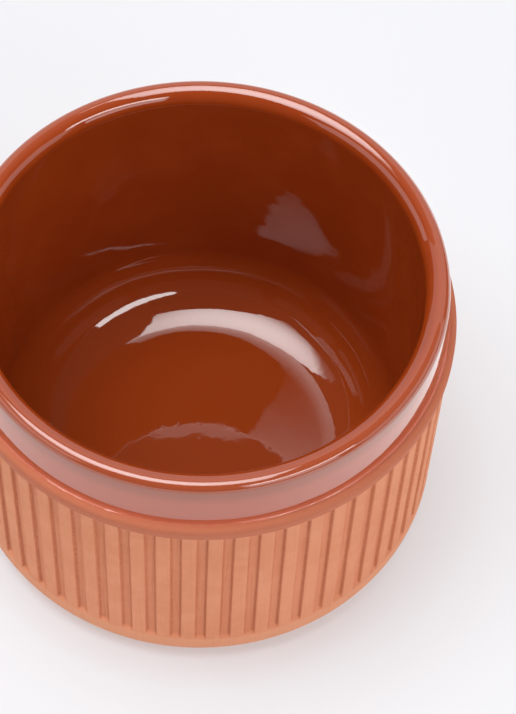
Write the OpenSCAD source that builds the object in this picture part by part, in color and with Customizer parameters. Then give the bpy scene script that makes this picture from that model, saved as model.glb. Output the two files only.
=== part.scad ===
// Terracotta dip bowl, glazed inside and over the lip, with raw clay below: a plain ring and a
// ribbed wall that ends in a plain band over the foot. It is fired as one piece.
// Millimetres, +Z up, origin at the centre of the foot, on the surface that the bowl stands on.

/* [Bowl] */
// Height from the foot to the top of the lip
height = 61.5; // [45:0.5:90]
// Outer diameter at the lip
lip_d = 86; // [66:1:130]

/* [Lip and wall] */
// Thickness of the wall under the lip
wall_t = 4.3; // [3.8:0.1:7]
// Radius of the lip's outer edge
lip_out_r = 1.6; // [0.8:0.1:1.9]
// Radius of the lip's inner edge, a softer bend into the bowl
lip_in_r = 2.8; // [2.4:0.1:4.6]
// How much narrower the inside is at the floor than at the lip, on each side
inner_draft = 1.8; // [0:0.1:4]
// How much the glazed band leans out from the lip down to the ring
band_draft = 0.5; // [0:0.1:1.5]

/* [Floor and foot] */
// Thickness of the floor at its middle, over the hollow in the foot
floor_t = 3.9; // [3.5:0.1:8]
// Radius of the gentle rise of the floor to its middle
floor_bow = 175; // [150:5:500]
// Radius of the bend from the wall to the floor
floor_r = 12.5; // [8:0.5:18]
// Radius of the outer bend from the wall down to the foot
foot_r = 6.5; // [2:0.5:8]
// Width of the ring that the bowl stands on
foot_w = 5; // [3:0.5:10]
// Depth of the hollow inside the foot
foot_hollow = 0.9; // [0.8:0.1:2.5]
// Radius of the bend at the edge of the hollow
hollow_r = 0.7; // [0.2:0.1:0.8]

/* [Plain ring] */
// Height of the glazed band, from the ring to the top of the lip
band_h = 10.6; // [7:0.1:18]
// Height of the plain ring
ring_h = 3.1; // [2.2:0.1:8]
// How far the ring stands out from the glazed band
ring_out = 1.5; // [0.8:0.1:3]
// Radius of the ring's upper edge
ring_top_r = 1.1; // [0.3:0.1:1.6]
// Radius of the ring's lower edge
ring_low_r = 0.4; // [0.1:0.05:0.5]

/* [Ribs] */
// Number of ribs round the bowl
rib_n = 62; // [30:1:80]
// How far the ribs stand back from the ring
rib_back = 0.5; // [0.3:0.05:1]
// Depth of the valleys between the ribs
rib_depth = 0.65; // [0.2:0.05:0.9]
// Width of a valley's floor
valley_w = 1.75; // [0.8:0.05:2.4]
// Run of each side of a valley, from its floor out to the ribs
valley_side = 0.13; // [0.05:0.01:0.4]
// Height of a valley's lower end, which slopes out to the plain band
valley_end = 0.9; // [0.3:0.1:3]
// How much the ribbed wall narrows on each side, from the ring down to the foot
rib_draft = 0.4; // [0:0.1:3]
// Height of the plain band under the ribs
base_h = 8.6; // [8.2:0.1:16]

/* [Hidden] */
$fn = 96;
clay = [0.82, 0.53, 0.41];

// Heights of the ring's edges and of the floor inside
ring_top_z = height - band_h;
ring_low_z = ring_top_z - ring_h;
floor_z = foot_hollow + floor_t;

// Radii of the outside, from the lip down to the foot
lip_x = lip_d / 2;
band_x = lip_x + band_draft;
ring_x = band_x + ring_out;
rib_x = ring_x - rib_back;
base_x = rib_x - rib_draft;
hollow_x = base_x - foot_r - foot_w;

// Radii of the inside, at the lip and where the wall would reach the floor
inner_x = lip_x - wall_t;
floor_x = inner_x - inner_draft;

// Edges of the lip: the outer one stays under half the wall, and the inner one over half of it
lip_share = 0.55;
lip_out_bend = min(lip_out_r, (1 - lip_share) * wall_t);
lip_in_bend = max(lip_in_r, lip_share * wall_t);

// Centres of the lip's two bends. Both lie on one line through the point where the bends meet
lip_out_c = [lip_x - lip_out_bend, height - lip_out_bend];
lip_run = inner_x + lip_in_bend - lip_out_c.x;
lip_rise = sqrt(pow(lip_in_bend - lip_out_bend, 2) - pow(lip_run, 2));
lip_in_c = lip_out_c + [lip_run, -lip_rise];

// The inside wall's line, down from the lip's inner bend to under the floor
wall_top = [inner_x, lip_in_c.y];
wall_down = unit([floor_x, floor_z] - wall_top);
wall_in = [wall_down.y, -wall_down.x];
wall_low = wall_top + wall_down * height;

// Centre of the floor's rise, and of the bend that runs into both the rise and the wall
bow_c = [0, floor_z - floor_bow];
bend_line = wall_top + wall_in * floor_r - bow_c;
bend_reach = pow(floor_bow + floor_r, 2) - bend_line * bend_line;
bend_way = -bend_line * wall_down;
bend_c = bow_c + bend_line + wall_down * (bend_way - sqrt(pow(bend_way, 2) + bend_reach));

// Edges of the ring, no rounder than the steps beside it allow
step_share = 0.9;
ring_top_bend = min(ring_top_r, step_share * ring_out);
ring_low_bend = min(ring_low_r, step_share * rib_back);

// Height and lean of the ribs
rib_h = ring_low_z - base_h;
rib_lean = atan(rib_draft / rib_h);

// How far a cut runs past the surface that it opens
past = 2;

function unit(v) = v / norm(v);

// What lies outside a bend of radius r, which starts at on_a and ends at on_b, as far as beyond
module bend_cut(centre, r, on_a, beyond, on_b) {
    difference() {
        polygon([
            on_a,
            on_a + unit(on_a - centre) * past,
            beyond,
            on_b + unit(on_b - centre) * past,
            on_b
        ]);
        translate(centre) circle(r);
    }
}

// What comes off the corner p to round it to radius r, between its neighbours a and b
module corner_cut(a, p, b, r) {
    to_a = unit(a - p);
    to_b = unit(b - p);
    inward = unit(to_a + to_b);
    half = acos(to_a * to_b) / 2;
    on_a = p + to_a * r / tan(half);
    on_b = p + to_b * r / tan(half);
    bend_cut(p + inward * r / sin(half), r, on_a, p - inward * 2 * past, on_b);
}

// Half section of the outside, still square at the lip's inner edge
module outside() {
    foot = [base_x, 0];
    base_top = [base_x, base_h];
    rib_top = [rib_x, ring_low_z];
    ring_low = [ring_x, ring_low_z];
    ring_top = [ring_x, ring_top_z];
    band_low = [band_x, ring_top_z];
    lip_side = [lip_x, lip_out_c.y];
    lip_corner = [lip_x, height];
    difference() {
        polygon([
            [0, 0], foot, base_top, rib_top, ring_low,
            ring_top, band_low, lip_side, lip_corner, [0, height]
        ]);
        corner_cut([0, 0], foot, base_top, foot_r);
        corner_cut(rib_top, ring_low, ring_top, ring_low_bend);
        corner_cut(ring_low, ring_top, band_low, ring_top_bend);
        corner_cut(lip_side, lip_corner, [0, height], lip_out_bend);
    }
}

// Half section of what the bowl holds, up to the lip's soft inner bend
module inside() {
    meet_out = lip_in_c + unit(lip_out_c - lip_in_c) * (lip_in_bend + past);
    on_floor = bow_c + unit(bend_c - bow_c) * floor_bow;
    on_wall = bend_c - wall_in * floor_r;
    difference() {
        polygon([[0, wall_low.y], wall_low, wall_top, lip_in_c, meet_out, [0, meet_out.y]]);
        translate(lip_in_c) circle(lip_in_bend);
        translate(bow_c) circle(floor_bow);
        bend_cut(bend_c, floor_r, on_wall, [inner_x + past, on_floor.y - 3 * past], on_floor);
    }
    difference() {
        polygon([lip_out_c, [lip_out_c.x, meet_out.y], meet_out]);
        translate(lip_out_c) circle(lip_out_bend);
    }
}

// Half section of the hollow in the foot
module foot_hollow_section() {
    low = [hollow_x, -past];
    rim = [hollow_x, foot_hollow];
    difference() {
        polygon([[0, -past], low, rim, [0, foot_hollow]]);
        corner_cut(low, rim, [0, foot_hollow], hollow_r);
    }
}

// One valley, a straight channel that leans with the wall
module valley() {
    low = valley_w / 2;
    rise = rib_depth + past;
    high = low + valley_side * rise / rib_depth;
    translate([base_x, 0, base_h])
        rotate([0, rib_lean, 0])
            translate([-rib_depth, 0, -past])
                linear_extrude(rib_h + 2 * past)
                    polygon([[0, -low], [rise, -high], [rise, high], [0, low]]);
}

// All the valleys, ended by the plain ring above and by a slope out to the plain band below
module valleys() {
    slope_h = valley_end * (rib_depth + past) / rib_depth;
    intersection() {
        for (i = [0:rib_n - 1]) rotate(i * 360 / rib_n) valley();
        translate([0, 0, base_h]) difference() {
            cylinder(h = rib_h, r = ring_x + past);
            cylinder(h = slope_h, r1 = base_x, r2 = base_x - rib_depth - past);
        }
    }
}

module bowl() {
    color(clay) difference() {
        rotate_extrude() difference() {
            outside();
            inside();
            foot_hollow_section();
        }
        valleys();
    }
}

bowl();
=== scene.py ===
"""A terracotta dip bowl: raw ribbed clay outside, clear gloss glaze inside and over its lip.

Sizes are in millimetres, as a potter would note them, and become metres as each mesh is made.
"""

import math
import random

import bpy
import numpy as np
from mathutils import Matrix, Vector


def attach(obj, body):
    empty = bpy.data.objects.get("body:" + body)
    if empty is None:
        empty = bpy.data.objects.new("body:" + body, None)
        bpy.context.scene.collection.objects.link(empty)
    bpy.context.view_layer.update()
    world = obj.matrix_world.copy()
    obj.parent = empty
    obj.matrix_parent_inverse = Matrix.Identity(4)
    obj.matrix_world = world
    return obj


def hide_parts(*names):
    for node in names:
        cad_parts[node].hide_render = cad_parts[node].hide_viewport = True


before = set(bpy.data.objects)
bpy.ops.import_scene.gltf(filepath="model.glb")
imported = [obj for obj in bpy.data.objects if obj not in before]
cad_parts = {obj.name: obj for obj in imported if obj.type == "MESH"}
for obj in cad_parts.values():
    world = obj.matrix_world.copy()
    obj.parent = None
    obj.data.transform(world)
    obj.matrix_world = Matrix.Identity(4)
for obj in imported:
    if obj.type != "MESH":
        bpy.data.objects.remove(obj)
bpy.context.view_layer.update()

# Sizes, the same as the solid's

MM = 0.001

HEIGHT = 61.5
LIP_X = 43.0
WALL = 4.3
LIP_OUT_R = 1.6
LIP_IN_R = 2.8
INNER_DRAFT = 1.8
BAND_X = 43.5
FLOOR_Z = 4.8
FLOOR_BOW = 175.0
FLOOR_R = 12.5
FOOT_R = 6.5
FOOT_HOLLOW = 0.9
HOLLOW_X = 32.6
HOLLOW_R = 0.7
RING_X = 45.0
RING_TOP_Z = 50.9
RING_LOW_Z = 47.8
RING_TOP_R = 1.1
RING_LOW_R = 0.4
RIB_X = 44.5
RIBS = 62
RIB_DEPTH = 0.65
VALLEY_W = 1.75
VALLEY_SIDE = 0.13
VALLEY_END = 0.9
BASE_X = 44.1
BASE_H = 8.6

# What only shows close up: the glaze's thickness over the clay and how far its lower skin lies
# inside the clay, how far it runs out on the ring, give or take, and the soft edges of the clay
GLAZE = 0.12
GLAZE_SUNK = 0.03
GLAZE_REACH = 0.28
GLAZE_WANDER = 0.16
EDGE_SOFT = 0.13
FOOT_EDGE_R = 0.25
RIB_END_R = 0.12
GLAZE_CORNER_R = 0.3

INNER_X = LIP_X - WALL
RIB_PITCH = 2 * math.pi / RIBS
LIP_OUT_C = (LIP_X - LIP_OUT_R, HEIGHT - LIP_OUT_R)
LIP_RUN = INNER_X + LIP_IN_R - LIP_OUT_C[0]
LIP_DROP = math.sqrt((LIP_IN_R - LIP_OUT_R) ** 2 - LIP_RUN ** 2)
LIP_IN_C = (LIP_OUT_C[0] + LIP_RUN, LIP_OUT_C[1] - LIP_DROP)

# The floor's gentle rise, and the bend that runs into both the rise and the leaning wall
BOW_C = (0, FLOOR_Z - FLOOR_BOW)
WALL_LEAN = math.atan2(INNER_DRAFT, LIP_IN_C[1] - FLOOR_Z)
WALL_IN = np.array([-math.cos(WALL_LEAN), math.sin(WALL_LEAN)])
WALL_DOWN = np.array([-math.sin(WALL_LEAN), -math.cos(WALL_LEAN)])
BEND_LINE = np.array([INNER_X, LIP_IN_C[1]]) + WALL_IN * FLOOR_R - BOW_C
BEND_WAY = -float(BEND_LINE @ WALL_DOWN)
BEND_REACH = (FLOOR_BOW + FLOOR_R) ** 2 - float(BEND_LINE @ BEND_LINE)
BEND_C = BOW_C + BEND_LINE + WALL_DOWN * (BEND_WAY - math.sqrt(BEND_WAY ** 2 + BEND_REACH))
BEND_TILT = math.degrees(math.asin(BEND_C[0] / (FLOOR_BOW + FLOOR_R)))

# The steps of the lip's two bends, the wall, the floor's bend and its rise, and how many times
# fewer they are on a skin that stays out of sight
LIP_OUT_STEPS = 14
LIP_IN_STEPS = 16
WALL_STEPS = 8
BEND_STEPS = 30
RISE_STEPS = 9
OUT_OF_SIGHT = 3

# Where rows lie on the hollow's roof, as radii, and up the ribs, as heights
HOLLOW_ROWS = (8, 20)
RIB_ROWS = (15, 22, 29, 36, 42, RING_LOW_Z - 0.2)

# Columns round the glaze, and the seed and the waves of its edge's wavy line
GLAZE_COLUMNS = 720
EDGE_SEED = 11
EDGE_WAVES = range(3, 120)


# Turning on the wheel

def round_off(before, corner, after, radius, steps):
    """Points of the arc that rounds a corner of the section to a radius."""
    before, corner, after = (np.array(p, float) for p in (before, corner, after))
    to_before = (before - corner) / np.linalg.norm(before - corner)
    to_after = (after - corner) / np.linalg.norm(after - corner)
    half = math.acos(float(to_before @ to_after)) / 2
    middle = (to_before + to_after) / np.linalg.norm(to_before + to_after)
    centre = corner + middle * radius / math.sin(half)
    start = corner + to_before * radius / math.tan(half) - centre
    side = start[0] * (corner - centre)[1] - start[1] * (corner - centre)[0]
    turn = math.copysign(math.pi - 2 * half, side)
    points = []
    for step in range(steps + 1):
        a = turn * step / steps
        c, s = math.cos(a), math.sin(a)
        points.append((centre[0] + c * start[0] - s * start[1],
                       centre[1] + s * start[0] + c * start[1]))
    return points


def arc(centre, radius, first, last, steps):
    """Points of an arc, from one angle to another, in degrees from the outward level."""
    points = []
    for step in range(steps + 1):
        a = math.radians(first + (last - first) * step / steps)
        points.append((centre[0] + radius * math.cos(a), centre[1] + radius * math.sin(a)))
    return points


def along(first, last, steps):
    """Points of a straight stretch, without its two ends."""
    return [(first[0] + (last[0] - first[0]) * k / steps,
             first[1] + (last[1] - first[1]) * k / steps) for k in range(1, steps)]


def lip_and_inside(inset, coarse=1):
    """The section from the band, over the lip and down to the floor, at a depth under the glaze,
    with so many times fewer steps."""
    meet = math.degrees(math.atan2(LIP_OUT_C[1] - LIP_IN_C[1], LIP_OUT_C[0] - LIP_IN_C[0]))
    wall_top = (INNER_X + inset, LIP_IN_C[1])
    lean = -math.degrees(WALL_LEAN)
    lip_out = arc(LIP_OUT_C, LIP_OUT_R - inset, 0, meet, LIP_OUT_STEPS // coarse)
    lip_in = arc(LIP_IN_C, LIP_IN_R - inset, meet, 180, LIP_IN_STEPS // coarse)
    bend = arc(BEND_C, FLOOR_R + inset, lean, -90 - BEND_TILT, BEND_STEPS // coarse)
    rise = arc(BOW_C, FLOOR_BOW - inset, 90 - BEND_TILT, 90, RISE_STEPS // coarse)
    wall = along(wall_top, bend[0], WALL_STEPS // coarse)
    return lip_out + lip_in[1:] + wall + bend + rise[1:-1]


def turned(name, angles, rows, low_z, high_z):
    """A closed skin round the axis, between two points on it. Each row holds a radius and a
    height for every angle."""
    count = len(angles)
    cos, sin = np.cos(angles), np.sin(angles)
    points = [np.array([[0, 0, low_z]])]
    for radius, height in rows:
        ring = np.empty((count, 3))
        ring[:, 0] = radius * cos
        ring[:, 1] = radius * sin
        ring[:, 2] = height
        points.append(ring)
    points.append(np.array([[0, 0, high_z]]))
    points = np.concatenate(points) * MM
    after = [(k + 1) % count for k in range(count)]
    faces = [(0, 1 + after[k], 1 + k) for k in range(count)]
    for row in range(len(rows) - 1):
        low = 1 + row * count
        high = low + count
        for k in range(count):
            faces.append((low + k, low + after[k], high + after[k], high + k))
    top = len(points) - 1
    last = top - count
    for k in range(count):
        faces.append((last + k, last + after[k], top))
    mesh = bpy.data.meshes.new(name)
    mesh.from_pydata(points.tolist(), [], faces)
    mesh.validate()
    mesh.shade_smooth()
    piece = bpy.data.objects.new(name, mesh)
    bpy.context.scene.collection.objects.link(piece)
    return piece


def wander(angles, seed, waves, falling):
    """A closed wavy line round the bowl, within about -1 to 1, from seeded sine waves."""
    draw = random.Random(seed)
    line = np.zeros(len(angles))
    total = 0
    for wave in waves:
        size = wave ** -falling
        line += size * np.sin(wave * angles + draw.uniform(0, 2 * math.pi))
        total += size * size
    return line / math.sqrt(2 * total)


# The clay

def rib_columns():
    """Angles round the bowl, close together where a rib's side falls into a valley, with how
    deep in the valley each one is, from 0 on the rib to 1 on the valley's floor."""
    low = VALLEY_W / 2
    high = low + VALLEY_SIDE
    rib_middle = RIB_X * RIB_PITCH / 2
    across = [(0, 1), (0.55 * low, 1),
              (low - EDGE_SOFT, 1), (low - 0.25 * EDGE_SOFT, 0.93),
              (0.5 * (low + high), 0.5),
              (high + 0.25 * EDGE_SOFT, 0.07), (high + EDGE_SOFT, 0),
              (0.5 * (high + rib_middle), 0)]
    right = [(x / RIB_X, depth) for x, depth in across]
    left = [(-x, depth) for x, depth in reversed(right[1:])]
    angles, depths = [], []
    for rib in range(RIBS):
        for x, depth in left + right + [(RIB_PITCH / 2, 0)]:
            angles.append(rib * RIB_PITCH + x)
            depths.append(depth)
    return np.array(angles), np.array(depths)


def make_clay():
    """The whole bowl of fired clay, a glaze's thickness smaller where the glaze lies on it."""
    angles, depths = rib_columns()
    level = np.ones(len(angles))
    foot = (BASE_X, 0)
    base_top = (BASE_X, BASE_H)
    rib_top = (RIB_X, RING_LOW_Z)
    ring_low = (RING_X, RING_LOW_Z)
    ring_top = (RING_X, RING_TOP_Z)
    band_low = (BAND_X - GLAZE, RING_TOP_Z)
    lip_side = (LIP_X - GLAZE, LIP_OUT_C[1])
    hollow = (HOLLOW_X, FOOT_HOLLOW)
    foot_in = (HOLLOW_X, 0)

    # The hollow, the foot and the plain band
    under = [(r, FOOT_HOLLOW) for r in HOLLOW_ROWS]
    under += round_off((0, FOOT_HOLLOW), hollow, foot_in, HOLLOW_R, 5)
    under += round_off(hollow, foot_in, foot, FOOT_EDGE_R, 3)
    under += round_off(foot_in, foot, base_top, FOOT_R, 14)
    under += [(BASE_X, BASE_H - 0.4), (BASE_X, BASE_H - 0.12)]
    rows = [(r * level, z * level) for r, z in under]

    def rib_row(z, share):
        """A row at a height, with its valleys at a share of their depth."""
        on_ribs = BASE_X + (RIB_X - BASE_X) * (z - BASE_H) / (RING_LOW_Z - BASE_H)
        rows.append((on_ribs - share * RIB_DEPTH * depths, z * level))

    # The valleys slope in from the plain band and end square under the ring
    slope = ((0.03, 0.01), (0.2, 0.17), (0.5, 0.5), (0.8, 0.82), (0.95, 0.95), (1.2, 1))
    for part, share in slope:
        rib_row(BASE_H + part * VALLEY_END, share)
    for z in RIB_ROWS:
        rib_row(z, 1)
    end_steps = 3
    ends = round_off(base_top, rib_top, ring_low, RIB_END_R, end_steps)
    for number, (r, z) in enumerate(ends):
        rows.append((r - (1 - number / end_steps) * RIB_DEPTH * depths, z * level))

    # The ring, and the clay under the glaze
    above = round_off(rib_top, ring_low, ring_top, RING_LOW_R, 5)
    above += round_off(ring_low, ring_top, band_low, RING_TOP_R, 9)
    above += round_off(ring_top, band_low, lip_side, GLAZE_CORNER_R, 2)
    above += [(BAND_X - GLAZE - 0.2, RING_TOP_Z + 4)]
    above += lip_and_inside(GLAZE, OUT_OF_SIGHT)
    rows += [(r * level, z * level) for r, z in above]
    return turned("bowl_clay", angles, rows, FOOT_HOLLOW, FLOOR_Z - GLAZE)


def make_glaze():
    """The coat of glaze, from the ring over the lip to the middle of the floor."""
    angles = np.arange(GLAZE_COLUMNS) * 2 * math.pi / GLAZE_COLUMNS
    level = np.ones(GLAZE_COLUMNS)
    reach = GLAZE_REACH + GLAZE_WANDER * wander(angles, EDGE_SEED, EDGE_WAVES, 0.6)
    ring_z = RING_TOP_Z * level

    # Under the skin: from the floor out and up the wall, over the lip and down to the ring
    hidden = GLAZE + GLAZE_SUNK
    rows = [(r * level, z * level) for r, z in reversed(lip_and_inside(hidden, OUT_OF_SIGHT))]
    rows.append(((BAND_X - hidden - 0.1) * level, ring_z + 1.5))
    rows.append(((BAND_X - hidden) * level, ring_z - GLAZE_SUNK))
    rows.append((BAND_X + 0.6 * reach, ring_z - GLAZE_SUNK))

    # The glaze's edge lies on the ring, then the glaze fills the corner and climbs the band
    for out, up in ((1, -0.02), (0.9, 0.01), (0.7, 0.035), (0.45, 0.08), (0.25, 0.16),
                    (0.12, 0.3), (0.02, 0.55)):
        rows.append((BAND_X + out * reach, ring_z + up))
    for up in (1.2, 3.5, 6.0):
        lean_in = (BAND_X - LIP_X) * up / (LIP_OUT_C[1] - RING_TOP_Z)
        rows.append(((BAND_X - lean_in) * level, ring_z + up))
    rows += [(r * level, z * level) for r, z in lip_and_inside(0)]
    return turned("bowl_glaze", angles, rows, FLOOR_Z - hidden, FLOOR_Z)


# Finishes

class Signal:
    """A value on its way through a finish's nodes, with Python's own signs for its maths."""

    def __init__(self, finish, socket):
        self.finish = finish
        self.socket = socket

    def __add__(self, other):
        return self.finish.maths("ADD", self, other)

    def __radd__(self, other):
        return self.finish.maths("ADD", other, self)

    def __sub__(self, other):
        return self.finish.maths("SUBTRACT", self, other)

    def __rsub__(self, other):
        return self.finish.maths("SUBTRACT", other, self)

    def __mul__(self, other):
        return self.finish.maths("MULTIPLY", self, other)

    def __rmul__(self, other):
        return self.finish.maths("MULTIPLY", other, self)

    def __truediv__(self, other):
        return self.finish.maths("DIVIDE", self, other)

    def __rtruediv__(self, other):
        return self.finish.maths("DIVIDE", other, self)

    def __pow__(self, other):
        return self.finish.maths("POWER", self, other)

    def __rpow__(self, other):
        return self.finish.maths("POWER", other, self)

    def __neg__(self):
        return self.finish.maths("SUBTRACT", 0, self)

    def __abs__(self):
        return self.finish.maths("ABSOLUTE", self)

    def step(self, low, high):
        """0 below low, 1 above high and a soft rise between."""
        settings = {"interpolation_type": "SMOOTHSTEP"}
        return self.finish.node("ShaderNodeMapRange", settings, {0: self, 1: low, 2: high})


class Finish:
    """A material, or the light of a lamp or of the room, and the nodes that it is made of."""

    def __init__(self, name, owner=None):
        self.owner = owner or bpy.data.materials.new(name)
        self.owner.use_nodes = True
        self.tree = self.owner.node_tree
        self.tree.nodes.clear()

    def node(self, kind, settings=None, sockets=None, out=0):
        """Adds a node, with its settings first, and returns the signal of one of its outputs."""
        node = self.tree.nodes.new(kind)
        for name, value in (settings or {}).items():
            setattr(node, name, value)
        for key, value in (sockets or {}).items():
            socket = node.inputs[key]
            if isinstance(value, Signal):
                self.tree.links.new(value.socket, socket)
            elif socket.type == "RGBA":
                socket.default_value = (*value, 1)
            else:
                socket.default_value = value
        shown = [o for o in node.outputs if o.enabled]
        return Signal(self, shown[out] if isinstance(out, int) else node.outputs[out])

    def maths(self, operation, *values):
        sockets = dict(enumerate(values))
        return self.node("ShaderNodeMath", {"operation": operation}, sockets)

    def place(self, stretch=(1, 1, 1)):
        """The place on the piece in millimetres, stretched along each axis."""
        where = self.node("ShaderNodeTexCoord", out="Object")
        size = tuple(k / MM for k in stretch)
        return self.node("ShaderNodeVectorMath", {"operation": "MULTIPLY"}, {0: where, 1: size})

    def parts(self, place, axes="XYZ"):
        """The signals of a place, one for each axis."""
        return [self.node("ShaderNodeSeparateXYZ", None, {0: place}, out=axis) for axis in axes]

    def noise(self, place, scale, detail=2.0, roughness=0.5):
        sockets = {"Vector": place, "Scale": scale, "Detail": detail, "Roughness": roughness}
        return self.node("ShaderNodeTexNoise", {"noise_dimensions": "3D"}, sockets)

    def blend(self, share, first, second):
        """From the first colour to the second by a share."""
        sockets = {0: share, 6: first, 7: second}
        return self.node("ShaderNodeMix", {"data_type": "RGBA"}, sockets)

    def bump(self, height, distance):
        sockets = {"Height": height, "Distance": distance * MM}
        return self.node("ShaderNodeBump", None, sockets)

    def surface(self, **sockets):
        """The piece's surface, from sockets named in plain words with _ for a space."""
        named = {key.replace("_", " "): value for key, value in sockets.items()}
        self.ends_in(self.node("ShaderNodeBsdfPrincipled", None, named))

    def ends_in(self, signal, kind="Material"):
        out = self.tree.nodes.new(f"ShaderNodeOutput{kind}")
        self.tree.links.new(signal.socket, out.inputs["Surface"])


def rgb(red, green, blue):
    """A colour as it is seen, 0 to 255, made ready for the nodes."""
    def linear(value):
        value = value / 255
        return value / 12.92 if value <= 0.04045 else ((value + 0.055) / 1.055) ** 2.4
    return (linear(red), linear(green), linear(blue))


def make_raw_clay():
    clay = Finish("raw_clay")
    place = clay.place()
    x, y, z = clay.parts(place)
    tone = clay.noise(place, 0.08, 3)
    cloud = clay.noise(place, 0.35, 4)
    grain = clay.noise(place, 2.4, 3, 0.6)
    fine = clay.noise(place, 7.0, 2, 0.6)
    streak = clay.noise(clay.place((1, 1, 0.03)), 2.6, 3)

    # How far a point is from the middle of its valley, across, in millimetres
    around = clay.maths("ARCTAN2", y, x) / RIB_PITCH + 0.5
    across = abs(clay.maths("FRACT", around) - 0.5) * (RIB_PITCH * RIB_X)
    over_base = z.step(BASE_H - 0.1, BASE_H + VALLEY_END)
    ribbed = over_base * (1 - z.step(RING_LOW_Z, RING_LOW_Z + 0.1))
    half = VALLEY_W / 2
    valley = (1 - across.step(half - 0.15, half + 0.1)) * ribbed
    # Where the painted shade along the valleys' corners lies
    corner = across.step(half - 0.5, half - 0.02) * (1 - across.step(half + 0.05, half + 0.2))

    # The clay's own clouds and a paler base; the valleys a little darker and redder, partly the
    # clay's tone and partly painted shade, with painted shade along their corners
    body = clay.blend(tone.step(0.35, 0.65), rgb(217, 143, 108), rgb(212, 137, 101))
    body = clay.blend(cloud.step(0.4, 0.75) * 0.4, body, rgb(223, 153, 120))
    on_base = 1 - z.step(BASE_H - 0.6, BASE_H + 0.2)
    body = clay.blend(on_base * 0.7, body, rgb(221, 154, 120))
    # Partly the clay's tone and partly painted shade: the valleys a little darker and redder,
    # and, in the next line, more streaked
    body = clay.blend(valley * 0.15, body, rgb(210, 126, 92))
    body = clay.blend(streak.step(0.48, 0.75) * (valley * 0.3 + 0.2), body, rgb(198, 114, 78))
    # Painted shade along the valleys' corners at the ribs' feet, broken into patches by the grain
    corner_shade_patches = grain.step(0.35, 0.6)
    body = clay.blend(corner * ribbed * (corner_shade_patches * 0.3 + 0.15), body, rgb(170, 86, 52))

    # The ring is redder from the glaze's fumes; toward its top it is darker still, and along its
    # low edge it stays pale
    on_ring = z.step(RING_LOW_Z + 0.2, RING_LOW_Z + 0.45)
    body = clay.blend(on_ring * 0.9, body, rgb(186, 107, 79))
    on_top = z.step(RING_TOP_Z - 2.1, RING_TOP_Z - 0.3)
    body = clay.blend(on_top * 0.4, body, rgb(160, 84, 57))

    # Pale specks and dark pores
    body = clay.blend(fine.step(0.64, 0.78) * 0.45, body, rgb(236, 186, 157))
    body = clay.blend((1 - fine.step(0.24, 0.36)) * 0.45, body, rgb(172, 92, 60))
    rough = 0.78 + cloud * 0.16
    skin = clay.bump(grain * 0.6 + fine * 0.4, 0.05)
    clay.surface(Base_Color=body, Roughness=rough, IOR=1.33, Normal=skin)
    return clay.owner


def make_gloss_glaze():
    glaze = Finish("gloss_glaze")
    place = glaze.place()
    x, y, z = glaze.parts(place)
    cloud = glaze.noise(place, 0.12, 3)
    fleck = glaze.noise(place, 1.6, 2)

    # The glaze lies thin over the lip and the band, thinner yet along its edge on the ring
    outward = (x * x + y * y) ** 0.5
    thin = outward.step(INNER_X + 0.9, INNER_X + 2.7)
    on_band = thin * (1 - z.step(HEIGHT - 5, HEIGHT - 2))
    edge = thin * (1 - z.step(RING_TOP_Z + 0.3, RING_TOP_Z + 1.5))
    on_floor = 1 - z.step(8, 18)
    colour = glaze.blend(cloud.step(0.3, 0.7), rgb(144, 56, 18), rgb(138, 51, 15))
    colour = glaze.blend(on_floor, colour, rgb(136, 53, 17))
    colour = glaze.blend(fleck.step(0.62, 0.75) * 0.25, colour, rgb(120, 43, 13))
    colour = glaze.blend(thin, colour, rgb(149, 68, 41))
    colour = glaze.blend(on_band, colour, rgb(171, 79, 53))
    colour = glaze.blend(edge, colour, rgb(194, 99, 72))

    # Its skin isn't quite even: broad waves, small ripples and the fine rings of the turning,
    # with some grit along its edge on the ring
    rings = glaze.node("ShaderNodeCombineXYZ", None, {0: outward, 1: z, 2: (x + y) * 0.08})
    wave = glaze.noise(place, 0.09, 1)
    ripple = glaze.noise(place, 0.5, 1)
    turning = glaze.noise(rings, 0.8, 2)
    low_edge = thin * (1 - z.step(RING_TOP_Z + 0.06, RING_TOP_Z + 0.3))
    grit = glaze.noise(place, 4.0, 2) * low_edge
    skin = glaze.bump(wave + ripple * 0.10 + turning * 0.08 + grit * 0.15, 0.10)
    glaze.surface(Base_Color=colour, Roughness=0.04, IOR=1.65, Normal=skin)
    return glaze.owner


# The studio

# How far the camera and the lights are turned round the bowl, to see its ribs as in the photo
TURN = Matrix.Rotation(math.radians(1.70), 4, "Z")

# Half the table's width in metres, and how far it lies under the foot in millimetres, so that
# the two never share a surface
TABLE_REACH = 4.0
TABLE_DROP = 0.05


def turned_by(degrees, axis):
    return Matrix.Rotation(math.radians(degrees), 4, axis)


def soft_light(name, size, radiance, place):
    """A rectangular light at a place. The camera doesn't see it, and the glaze does."""
    lamp = bpy.data.lights.new(name, "AREA")
    lamp.shape = "RECTANGLE"
    lamp.size, lamp.size_y = size
    lamp.energy = radiance * math.pi * size[0] * size[1]
    holder = bpy.data.objects.new(name, lamp)
    holder.matrix_world = TURN @ place
    holder.visible_camera = False
    bpy.context.scene.collection.objects.link(holder)
    return lamp


def softbox(name, aside, lean, away, size, radiance, twist=0):
    """A soft light that faces the bowl. Seen from the bowl it stands aside of straight behind,
    clockwise, leaning down from overhead, both in degrees, at a distance in metres."""
    lift = Matrix.Translation((0, 0, away))
    place = turned_by(-aside, "Z") @ turned_by(-lean, "X") @ lift @ turned_by(twist, "Z")
    soft_light(name, size, radiance, place)


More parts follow.
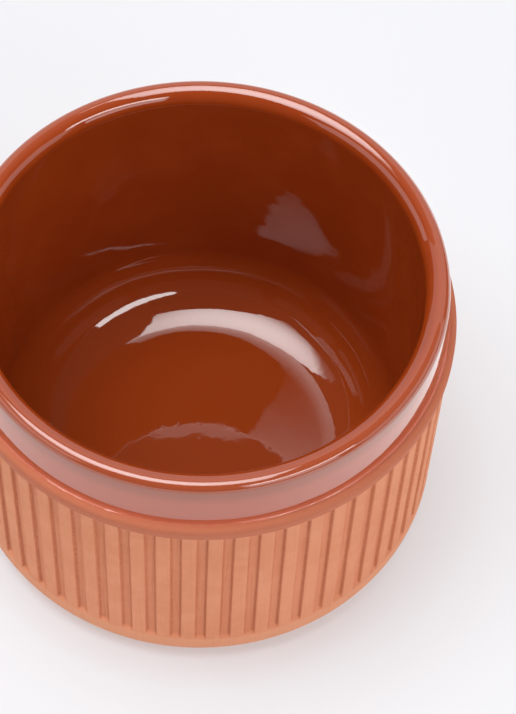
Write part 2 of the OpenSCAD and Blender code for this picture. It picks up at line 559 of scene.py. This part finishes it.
def overhead(name, low, high, twist, rise, radiance, peak, fall):
    """A level light over the bowl, between two corners given as runs per rise, then twisted. It
    is brightest at its peak, a share of the way across it and back, and falls off to its edges
    and most to its far left corner."""
    size = ((high[0] - low[0]) * rise, (high[1] - low[1]) * rise)
    across, back = (low[0] + high[0]) / 2 * rise, (low[1] + high[1]) / 2 * rise
    place = Matrix.Translation((across, back, rise)) @ turned_by(twist, "Z")
    cloth = Finish(name, soft_light(name, size, radiance, place))
    where = cloth.node("ShaderNodeNewGeometry", out="Parametric")
    u, v = cloth.parts(where, "XY")
    level = 1 - (u - peak[0]) ** 2 * fall[0] - (v - peak[1]) ** 2 * fall[1]
    level = level * (1 - (v - u).step(0.42, 0.68) * 0.85)
    shine = cloth.node("ShaderNodeEmission", None, {"Strength": level})
    cloth.ends_in(shine, "Light")


def make_table():
    """A wide sheet of white paper under the bowl."""
    mesh = bpy.data.meshes.new("table")
    low_left = (-TABLE_REACH, -TABLE_REACH, -TABLE_DROP * MM)
    low_right = (TABLE_REACH, -TABLE_REACH, -TABLE_DROP * MM)
    far_right = (TABLE_REACH, TABLE_REACH, -TABLE_DROP * MM)
    far_left = (-TABLE_REACH, TABLE_REACH, -TABLE_DROP * MM)
    mesh.from_pydata([low_left, low_right, far_right, far_left], [], [(0, 1, 2, 3)])
    table = bpy.data.objects.new("table", mesh)
    bpy.context.scene.collection.objects.link(table)
    white = Finish("table_white")
    camera, glossy, through = (white.node("ShaderNodeLightPath", out=f"Is {ray} Ray")
                               for ray in ("Camera", "Glossy", "Transmission"))

    # The paper takes the bowl's shadow, deepened and warmed just in front of the foot by a
    # painted shadow, and stays evenly pale out to the horizon
    x, y = white.parts(white.place(), "XY")
    outward = (x * x + y * y) ** 0.5
    far = outward.step(250, 900)
    # Painted shadow: a warm, darker tint just in front of the foot, where the paper also takes
    # more of the real shadow
    painted_contact_shadow = (1 - outward.step(45, 51)) * (-y).step(20, 44)
    shade = white.node("ShaderNodeBsdfDiffuse", None, {"Color": (0.58, 0.66, 0.71)})
    tint = white.blend(painted_contact_shadow, (1.0, 0.88, 0.87), (1.0, 0.80, 0.77))
    tint = white.blend(far, tint, (0.92, 0.92, 0.93))
    glow = white.node("ShaderNodeEmission", None, {"Color": tint})
    share = (1 - far) * 0.52 + painted_contact_shadow * 0.06
    paper = white.node("ShaderNodeMixShader", None, {0: share, 1: glow, 2: shade})

    # What the bowl gets from the paper: its light, and a pale mirror image, brighter at the right
    lit = white.node("ShaderNodeBsdfDiffuse", None, {"Color": (0.78, 0.78, 0.79)})
    mirror = white.blend(x.step(10, 150), (0.7, 0.7, 0.7), (1, 1, 1))
    sheen = white.node("ShaderNodeEmission", None, {"Color": mirror, "Strength": 1.93})
    seen = white.node("ShaderNodeMixShader", None, {0: camera, 1: lit, 2: paper})
    whole = white.node("ShaderNodeMixShader", None, {0: glossy + through, 1: seen, 2: sheen})
    white.ends_in(whole)
    mesh.materials.append(white.owner)


def make_room(dim, seen):
    """The room's own dim light, and how bright it is to the camera."""
    world = bpy.data.worlds.new("room")
    bpy.context.scene.world = world
    room = Finish("room", world)
    camera = room.node("ShaderNodeLightPath", out="Is Camera Ray")
    level = room.node("ShaderNodeMapRange", None, {0: camera, 3: dim, 4: seen})
    air = room.node("ShaderNodeBackground", None, {"Strength": level})
    room.ends_in(air, "World")


def make_studio():
    """The lights, each where its mirror image lies in the glaze, then the table and the room."""
    overhead("main_softbox", low=(-0.74, -0.35), high=(0.18, 0.32), twist=12, rise=1.08,
             radiance=8.4, peak=(0.62, 0.5), fall=(2.0, 1.0))
    softbox("side_strip", aside=139, lean=47.5, away=1.25, size=(0.81, 0.208), radiance=8.5,
            twist=8)
    softbox("low_softbox", aside=145, lean=66, away=1.4, size=(0.80, 0.42), radiance=2.6)
    softbox("back_card", aside=0, lean=60.5, away=1.6, size=(3.2, 1.8), radiance=0.8)
    softbox("left_card", aside=-100, lean=62, away=1.5, size=(1.8, 0.8), radiance=1.3)
    softbox("right_card", aside=92, lean=64, away=1.5, size=(1.4, 0.8), radiance=1.1)
    make_table()
    make_room(dim=0.08, seen=0.93)


# The camera

# Where the photo was taken from, how far down, aside and askew the camera looked, in degrees,
# and the distance from lens to picture and the picture's height, both in the photo's pixels
CAMERA_AT = (0, -243.52, 419.27)
CAMERA_DOWN = 57.65
CAMERA_ASIDE = 1.30
CAMERA_ASKEW = 1.27
FOCAL_PX = 2505.58
PICTURE_PX = 714
SENSOR_W = 36


def make_camera():
    """The camera of the photo, which looks down into the bowl and cuts its left edge off."""
    down, aside, askew = map(math.radians, (CAMERA_DOWN, CAMERA_ASIDE, CAMERA_ASKEW))
    cd, sd = math.cos(down), math.sin(down)
    ca, sa = math.cos(aside), math.sin(aside)
    ck, sk = math.cos(askew), math.sin(askew)
    level = Matrix(((1, 0, 0), (0, -sd, -cd), (0, cd, -sd)))
    pan = Matrix(((ca, 0, -sa), (0, 1, 0), (sa, 0, ca)))
    roll = Matrix(((ck, -sk, 0), (sk, ck, 0), (0, 0, 1)))
    right, low, ahead = (roll @ pan @ level)
    turned_to = Matrix((right, -low, -ahead)).transposed().to_4x4()
    data = bpy.data.cameras.new("camera")
    data.sensor_width = SENSOR_W
    data.sensor_fit = "AUTO"
    data.lens = FOCAL_PX / PICTURE_PX * SENSOR_W
    data.clip_start = 0.01
    camera = bpy.data.objects.new("camera", data)
    camera.matrix_world = TURN @ Matrix.Translation(Vector(CAMERA_AT) * MM) @ turned_to
    bpy.context.scene.collection.objects.link(camera)
    bpy.context.scene.camera = camera


# Putting it together

clay = make_clay()
clay.data.materials.append(make_raw_clay())
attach(clay, "root")
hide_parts("bowl")

glaze = make_glaze()
glaze.data.materials.append(make_gloss_glaze())
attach(glaze, "root")

make_studio()
make_camera()
bpy.context.scene.view_settings.view_transform = "Standard"
